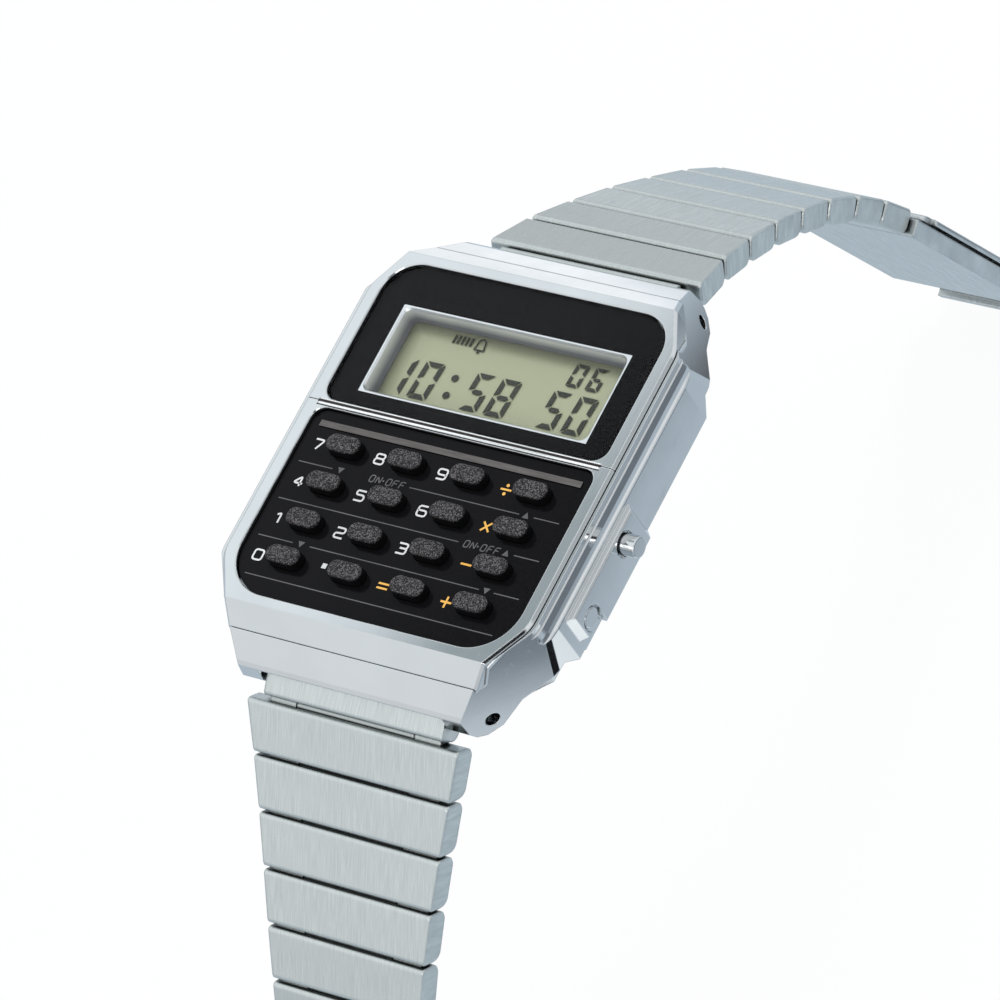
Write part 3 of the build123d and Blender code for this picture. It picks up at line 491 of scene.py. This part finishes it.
# Segments of each digit shown: a, b, c, d, e and f run clockwise from the top, g is the middle.
SEGMENTS = {"0": "abcdef", "1": "bc", "5": "afgcd", "6": "afgedc", "8": "abcdefg"}
SEGMENT_GAP = 0.16      # between segments, as a share of their width
SEGMENT_SKEW = 0.07     # sideways for each millimetre up
LCD_LOW = CELL_TOP + 0.10
LCD_TOP = LCD_LOW + 0.02
# Digits with their left and right edges.
TIME_DIGITS = (("1", -10.95, -9.00), ("0", -8.24, -6.32), ("5", -3.04, -1.21), ("8", -0.55, 1.37),
               ("5", 4.60, 6.45), ("0", 7.15, 9.00))
DATE_DIGITS = (("0", 5.45, 6.71), ("6", 7.35, 8.62))
TIME_Y, DATE_Y = 5.24, 9.42
COLON_X, COLON_Y = -4.66, (7.85, 6.17)
WAVE_X, WAVE_PITCH, WAVE_WIDE, WAVE_LEAN, WAVE_Y = -6.70, 0.42, 0.22, 0.04, (10.95, 11.75)
BELL = [(-4.42, 10.80), (-4.30, 11.08), (-4.22, 11.66), (-3.90, 11.88), (-3.58, 11.66),
        (-3.50, 11.08), (-3.38, 10.80)]
CLAPPER = (-3.90, 10.60)


def digit(bm, mark, x, y, wide, high, line):
    """A seven segment digit with its lower left corner at x, y."""
    gap = line * SEGMENT_GAP
    middle, half = high / 2, line / 2
    left, right = gap * 2, wide - gap * 2
    shapes = {
        "a": [(left, high), (left + line, high - line), (right - line, high - line), (right, high)],
        "d": [(left, 0), (right, 0), (right - line, line), (left + line, line)],
        "g": [(left + half, middle), (left + line, middle - half), (right - line, middle - half),
              (right - half, middle), (right - line, middle + half), (left + line, middle + half)],
    }
    for name, edge, inward, upper in (("b", wide, -1, True), ("c", wide, -1, False),
                                      ("e", 0, 1, False), ("f", 0, 1, True)):
        base, end = (middle, high) if upper else (0, middle)
        low_cut, high_cut = (line * 0.55, line) if upper else (line, line * 0.55)
        inner = edge + line * inward
        shapes[name] = [(edge, base + gap), (inner, base + gap + low_cut),
                        (inner, end - gap - high_cut), (edge, end - gap)]
    for name in SEGMENTS[mark]:
        patch(bm, [(x + px + SEGMENT_SKEW * py, y + py) for px, py in shapes[name]],
              LCD_LOW, LCD_TOP)


bm = bmesh.new()
for mark, x0, x1 in TIME_DIGITS:
    digit(bm, mark, x0, TIME_Y, x1 - x0, high=3.60, line=0.46)
for mark, x0, x1 in DATE_DIGITS:
    digit(bm, mark, x0, DATE_Y, x1 - x0, high=2.22, line=0.32)
for y in COLON_Y:
    patch(bm, disc(COLON_X, y, 0.33), LCD_LOW, LCD_TOP)
for i in range(5):
    x0 = WAVE_X + i * WAVE_PITCH
    x1 = x0 + WAVE_WIDE
    patch(bm, [(x0, WAVE_Y[0]), (x1, WAVE_Y[0]), (x1 + WAVE_LEAN, WAVE_Y[1]),
               (x0 + WAVE_LEAN, WAVE_Y[1])], LCD_LOW, LCD_TOP)
ribbon(bm, rounded(BELL, 0.12, True), 0.13, LCD_LOW, LCD_TOP, True)
patch(bm, disc(*CLAPPER, 0.13), LCD_LOW, LCD_TOP)
piece("display_segments", bm, segment_print)


# ---- rails, and dark lines of painted shade for the grooves, on the bar between window and keypad ----

RAIL_END_X = 14.1
RAIL_TAPER = 0.2
RAIL_RISE, RAIL_END_RISE = 0.05, 0.004
RAIL_STEPS = 12

bm = bmesh.new()
for y, wide in ((2.17, 0.13), (1.78, 0.25)):
    arches = []
    for x, rise in ((-RAIL_END_X, RAIL_END_RISE), (RAIL_TAPER - RAIL_END_X, RAIL_RISE),
                    (RAIL_END_X - RAIL_TAPER, RAIL_RISE), (RAIL_END_X, RAIL_END_RISE)):
        angles = [math.pi * k / RAIL_STEPS for k in range(RAIL_STEPS + 1)]
        arches.append([bm.verts.new((x * MM, (y + wide / 2 * math.cos(angle)) * MM,
                                     (BEZEL_TOP + rise * math.sin(angle)) * MM))
                       for angle in angles])
    for a, b in zip(arches[:-1], arches[1:]):
        for k in range(RAIL_STEPS):
            bm.faces.new((a[k], a[k + 1], b[k + 1], b[k])).smooth = True
        bm.faces.new((a[0], b[0], b[-1], a[-1]))
    bm.faces.new(arches[0][::-1])
    bm.faces.new(arches[-1])
# The rails' polish is a lighter copy of the case's, as a painted highlight along the rails.
piece("bar_rails", bm, polished("rail_polish", rgb(252, 252, 252), 0.06, 16.0))

# Dark strips that lie on the bar: painted shade and painted dark reflection standing for its grooves.
bm = bmesh.new()
for y, wide in ((2.005, 0.20), (1.610, 0.09)):
    ribbon(bm, [Vector((-RAIL_END_X, y)), Vector((RAIL_END_X, y))], wide,
           BEZEL_TOP - 0.01, BEZEL_TOP + 0.006)
groove_shade = moulded("groove_shade", rgb(38, 31, 29), dimmed(rgb(38, 31, 29), 0.8), 0.28, 4000.0,
                       24.0, gloss=0.3, depth=MICRON)
piece("painted_groove_lines", bm, groove_shade)


# ---- keypad print ----

INK_LOW = PLATE_TOP
INK_TOP = PLATE_TOP + 0.012
COLUMN_X = (-12.72, -6.50, -0.24, 6.07)
ROW_Y = (-2.29, -5.88, -9.51, -13.12)
NUMBERS = ("789", "456", "123", "0")
POINT_X, POINT_Y = (-5.98, -5.54), (-12.35, -11.89)


def glyph(bm, mark, x, y, wide, high, line, lean=0.0):
    """One printed character with its lower left corner at x, y."""
    for layer, (points, closed) in enumerate(STROKES[mark]):
        place = [(x + line / 2 + px * (wide - line) + lean * py * high,
                  y + line / 2 + py * (high - line)) for px, py in points]
        ribbon(bm, rounded(place, CORNER_SHARE * high, closed), line, INK_LOW,
               INK_TOP + LAYER * layer, closed)


def stroke(bm, start, end, width, lift=0.0):
    """A straight printed line."""
    ribbon(bm, [Vector(start), Vector(end)], width, INK_LOW, INK_TOP + lift)


def dot(bm, x, y, radius, count=20):
    patch(bm, disc(x, y, radius, count), INK_LOW, INK_TOP)


bm = bmesh.new()
for y, marks in zip(ROW_Y, NUMBERS):
    for x, mark in zip(COLUMN_X, marks):
        glyph(bm, mark, x, y, wide=1.04, high=1.10, line=0.165)
patch(bm, [(POINT_X[0], POINT_Y[0]), (POINT_X[1], POINT_Y[0]), (POINT_X[1], POINT_Y[1]),
           (POINT_X[0], POINT_Y[1])], INK_LOW, INK_TOP)
piece("key_numbers", bm, white_print)

SIGN_HALF = 0.52
SIGN_X, EQUALS_X = 6.62, 0.37
DIVIDE_Y, MULTIPLY_Y, MINUS_Y, PLUS_Y = -1.74, -5.33, -8.96, -12.57

bm = bmesh.new()
stroke(bm, (SIGN_X - SIGN_HALF, DIVIDE_Y), (SIGN_X + SIGN_HALF, DIVIDE_Y), 0.17)
for dy in (0.40, -0.40):
    dot(bm, SIGN_X, DIVIDE_Y + dy, 0.15)
for s in (1, -1):
    stroke(bm, (SIGN_X - 0.40, MULTIPLY_Y - 0.42 * s), (SIGN_X + 0.40, MULTIPLY_Y + 0.42 * s),
           0.17, LAYER * s)
stroke(bm, (SIGN_X - SIGN_HALF, MINUS_Y), (SIGN_X + SIGN_HALF, MINUS_Y), 0.18)
stroke(bm, (SIGN_X - SIGN_HALF, PLUS_Y), (SIGN_X + SIGN_HALF, PLUS_Y), 0.18)
stroke(bm, (SIGN_X, PLUS_Y - SIGN_HALF), (SIGN_X, PLUS_Y + SIGN_HALF), 0.18, LAYER)
for dy in (0.21, -0.21):
    stroke(bm, (EQUALS_X - SIGN_HALF, PLUS_Y + dy), (EQUALS_X + SIGN_HALF, PLUS_Y + dy), 0.17)
piece("key_operators", bm, gold_print)

# Thin rules between the key rows, as runs from x to x at each y.
RULES = {
    -3.57: ((-13.2, -9.76), (-1.98, 8.90), (10.35, 12.8)),
    -7.19: ((-13.2, 4.90), (10.35, 12.8)),
    -10.80: ((-13.2, -9.7), (-8.0, 8.90), (10.35, 12.8)),
    -14.39: ((-12.54, 12.17),),
}
# Small triangles on the rules: x, y, and 1 for up or -1 for down.
TRIANGLES = ((-8.96, -3.55, -1), (9.57, -3.55, 1), (9.57, -7.17, 1), (-8.90, -10.78, -1),
             (9.57, -10.78, -1))
LEGEND_STARTS = ((-6.00, -3.93), (5.42, -7.55))

bm = bmesh.new()
for y, runs in RULES.items():
    for x0, x1 in runs:
        stroke(bm, (x0, y), (x1, y), 0.09)
for x, y, up in TRIANGLES:
    foot = y - 0.26 * up
    patch(bm, [(x - 0.32, foot), (x + 0.32, foot), (x, y + 0.30 * up)][::up], INK_LOW, INK_TOP)
for x, y in LEGEND_STARTS:
    for mark in "ON.OFF":
        if mark == ".":
            dot(bm, x + 0.08, y + 0.36, 0.09, count=12)
            x += 0.34
        else:
            glyph(bm, mark, x, y, wide=0.52, high=0.72, line=0.10, lean=0.10)
            x += 0.66
piece("key_rules", bm, grey_print)


# ---- rubber mat and coils, as a sheet, a dome for each key and a coil each for the mode and adjust pushers ----

MAT_LOW, MAT_TOP = 4.42, 4.95
MAT_X, MAT_CUT_X = 12.4, 9.5
MAT_HIGH_Y, MAT_CUT_Y, MAT_LOW_Y = 0.4, -11.1, -14.0
NOTCH_X, NOTCH_Y = 11.2, (-3.35, -1.05)     # clears the inner end of the mode pusher
DOME_REACH_X, DOME_REACH_Y = 1.7, 1.1
COIL_SPLIT_Y = -5.5


def cad_part(node, wanted):
    """A copy of the CAD node's faces that are wanted, closed where they were cut off."""
    bm = bmesh.new()
    bm.from_mesh(frame["nodes"][node].data)
    bm.transform(frame["nodes"][node].matrix_world)
    bmesh.ops.remove_doubles(bm, verts=bm.verts, dist=1e-7)
    bmesh.ops.delete(bm, geom=[f for f in bm.faces if not wanted(f)], context="FACES")
    bmesh.ops.holes_fill(bm, edges=[e for e in bm.edges if e.is_boundary], sides=0)
    return bm


def of_dome(face, middle):
    """Whether the mat's face belongs to the dome at that middle, and isn't on the sheet."""
    away = face.calc_center_median() - middle
    return (abs(away.x) < DOME_REACH_X * MM and abs(away.y) < DOME_REACH_Y * MM
            and max(v.co.z for v in face.verts) > (MAT_TOP + 0.01) * MM)


for key in [joint["child"] for joint in frame["joints"] if joint["child"].startswith("key_")]:
    low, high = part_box(key)
    middle = (low + high) / 2
    dome = piece("dome_" + key[4:], cad_part("key_mat", lambda face: of_dome(face, middle)),
                 finishes["mat_rubber"])
    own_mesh(dome)

bm = bmesh.new()
patch(bm, [(-MAT_X, MAT_CUT_Y), (-MAT_CUT_X, MAT_LOW_Y), (MAT_CUT_X, MAT_LOW_Y),
           (MAT_X, MAT_CUT_Y), (MAT_X, NOTCH_Y[0]), (NOTCH_X, NOTCH_Y[0]), (NOTCH_X, NOTCH_Y[1]),
           (MAT_X, NOTCH_Y[1]), (MAT_X, MAT_HIGH_Y), (-MAT_X, MAT_HIGH_Y)], MAT_LOW, MAT_TOP)
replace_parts(piece("mat_sheet", bm, finishes["mat_rubber"]), "key_mat")

for name, side, keep in (("mode", 1, 0.12), ("adjust", -1, 0.13)):
    faces = cad_part("pusher_springs",
                     lambda f: (f.calc_center_median().y - COIL_SPLIT_Y * MM) * side > 0)
    coil = piece(name + "_coil", faces, finishes["spring_steel"])
    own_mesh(coil)
    if name == "mode":
        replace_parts(coil, "pusher_springs")


# ---- floor ----

# Areas of the floor as mirrors see them: x from, x to, y from, y to and the softness of the
# edges, in metres, and the colour.
FLOOR_SHADES = (
    (0.130, 0.300, -0.020, 0.064, 0.012, linear(0.22, 0.25, 0.28)),
    (0.061, 0.140, 0.008, 0.060, 0.004, linear(0.22, 0.25, 0.29)),
    (0.008, 0.032, 0.070, 0.088, 0.005, linear(0.15, 0.165, 0.18)),
    (0.049, 0.066, -0.014, 0.011, 0.002, linear(1.10, 1.18, 1.22)),
    (0.028, 0.0376, -0.062, -0.040, 0.001, linear(0.06, 0.065, 0.08)),
    (0.0385, 0.052, -0.060, -0.036, 0.001, linear(1.30, 1.36, 1.40)),
    (0.0885, 0.104, -0.080, -0.050, 0.002, linear(0.50, 0.57, 0.64)),
    (0.0935, 0.120, -0.080, -0.050, 0.002, linear(0.22, 0.26, 0.30)),
    (0.078, 0.0878, -0.080, -0.060, 0.0015, linear(0.85, 0.92, 0.98)),
    (0.067, 0.092, -0.036, -0.010, 0.003, linear(0.012, 0.013, 0.016)),
)
WHITE_SHARE = 0.93      # how much of the floor's colour is plain white to the camera


def studio_plane(name, size, place, material):
    bpy.ops.mesh.primitive_plane_add(size=size, location=place)
    made = bpy.context.object
    made.name = name
    made.data.materials.append(material)
    return made


n = Nodes("floor_paper")
diffuse = n.new("ShaderNodeBsdfDiffuse")
n.put(n.mix(n.texture(n.noise(700.0, 30.0), 0.0, 1.0), linear(0.80, 0.81, 0.83),
            linear(0.77, 0.78, 0.80)), diffuse.inputs["Color"])
paper = diffuse.outputs[0]
ray = n.new("ShaderNodeLightPath")
# Towards 12 and 9 o'clock the floor turns lighter in mirrors, and darker again far out.
far = n.math("SUBTRACT", n.axis(1), n.axis(0))
tint = n.mix(n.span(far, 0.230, 0.265, 0.0, 1.0), linear(0.61, 0.71, 0.80),
             linear(1.30, 1.34, 1.38))
tint = n.mix(n.span(far, 0.28, 0.38, 0.0, 1.0), tint, linear(0.60, 0.65, 0.68))
for x0, x1, y0, y1, soft, shade in FLOOR_SHADES:
    inside = 1.0
    for axis, edge, side in ((0, x0, 1), (0, x1, -1), (1, y0, 1), (1, y1, -1)):
        within = n.span(n.axis(axis), edge - side * soft, edge + side * soft, 0.0, 1.0)
        inside = n.math("MULTIPLY", within, inside)
    tint = n.mix(inside, tint, shade)
mirrored = n.blend(ray.outputs["Is Glossy Ray"], paper, n.glow(tint))
seen = n.blend(WHITE_SHARE, paper, n.glow(linear(1.0, 1.0, 1.0)))
n.finish(n.blend(ray.outputs["Is Camera Ray"], mirrored, seen))
floor = studio_plane("studio_floor", 3.0, (0, 0, CAD_BOX[0].z - 0.001), n.owner)


# ---- card: a glowing sheet over the 9 o'clock side, mirrored by the polished case ----

n = Nodes("studio_card")
lean = n.math("SUBTRACT", n.axis(0), n.math("MULTIPLY", n.axis(1), 0.35))
fall = n.math("ADD", n.span(lean, 0.0145, 0.0215, 0.7, 0.0), n.span(lean, 0.0, 0.012, 0.3, 0.0))
n.finish(n.glow(n.mix(fall, linear(0.42, 0.49, 0.52), linear(1.13, 1.21, 1.25))))
card = studio_plane("studio_card", 0.16, (-0.170, 0.108, 0.235), n.owner)


# ---- world ----

# Height from 0, straight down, to 1, straight up, and the colour there.
SKY = ((0.0, linear(0.60, 0.66, 0.72)), (0.44, linear(0.66, 0.71, 0.76)),
       (0.49, linear(0.26, 0.28, 0.30)), (0.53, linear(0.72, 0.76, 0.79)),
       (0.60, linear(0.96, 1.00, 1.03)), (0.80, linear(1.05, 1.10, 1.13)),
       (1.0, linear(1.15, 1.18, 1.20)))
# Darker spots: direction, cosine where the spot is full, cosine where it ends, colour.
FLAGS = (((0.755, 0.353, 0.552), 0.996, 0.985, linear(0.58, 0.62, 0.65)),
         ((0.640, -0.360, 0.680), 0.985, 0.955, linear(0.02, 0.02, 0.025)))

n = Nodes("studio", kind="World", place="Generated")
ramp = n.new("ShaderNodeValToRGB")
n.put(n.span(n.axis(2), -1.0, 1.0, 0.0, 1.0), ramp.inputs[0])
stops = ramp.color_ramp.elements
while len(stops) < len(SKY):
    stops.new(0.5)
for stop, (at, colour) in zip(stops, SKY):
    stop.position = at
    stop.color = colour
sky = ramp.outputs[0]
for way, full, end, colour in FLAGS:
    turned = n.new("ShaderNodeVectorMath", operation="DOT_PRODUCT")
    n.put(n.place, turned.inputs[0])
    turned.inputs[1].default_value = way
    sky = n.mix(n.span(turned.outputs["Value"], end, full, 0.0, 1.0), sky, colour)
around, plain = n.new("ShaderNodeBackground"), n.new("ShaderNodeBackground")
n.put(sky, around.inputs["Color"])
plain.inputs["Color"].default_value = linear(1.0, 1.0, 1.0)
ray = n.new("ShaderNodeLightPath")
bpy.context.scene.world = n.finish(n.blend(ray.outputs["Is Camera Ray"], around.outputs[0],
                                           plain.outputs[0]))


# ---- lamps and camera ----

def softbox(name, place, aim, power, size=0.30):
    data = bpy.data.lights.new(name, "AREA")
    data.shape = "RECTANGLE"
    data.size = data.size_y = size
    data.energy = power
    lamp = bpy.data.objects.new(name, data)
    lamp.location = place
    lamp.rotation_euler = (Vector(aim) - Vector(place)).to_track_quat("-Z", "Y").to_euler()
    bpy.context.scene.collection.objects.link(lamp)
    return lamp


key_box = softbox("key_box", (-0.12, 0.42, 0.80), (0, 0, 0), 2.6)
key_box.visible_glossy = False
softbox("fill_box", (0.42, -0.50, 0.46), (0, 0, -0.01), 0.8)

camera_data = bpy.data.cameras.new("camera")
camera_data.lens = 253.2
camera_data.sensor_width = 36.0
camera_data.clip_start = 0.01
camera = bpy.data.objects.new("camera", camera_data)
camera.matrix_world = Matrix(((0.8100, -0.1968, 0.5525, 0.31691),
                              (0.4414, 0.8249, -0.3532, -0.20115),
                              (-0.3862, 0.5299, 0.7550, 0.43187),
                              (0, 0, 0, 1)))
bpy.context.scene.collection.objects.link(camera)
bpy.context.scene.camera = camera
bpy.context.scene.view_settings.view_transform = "Standard"
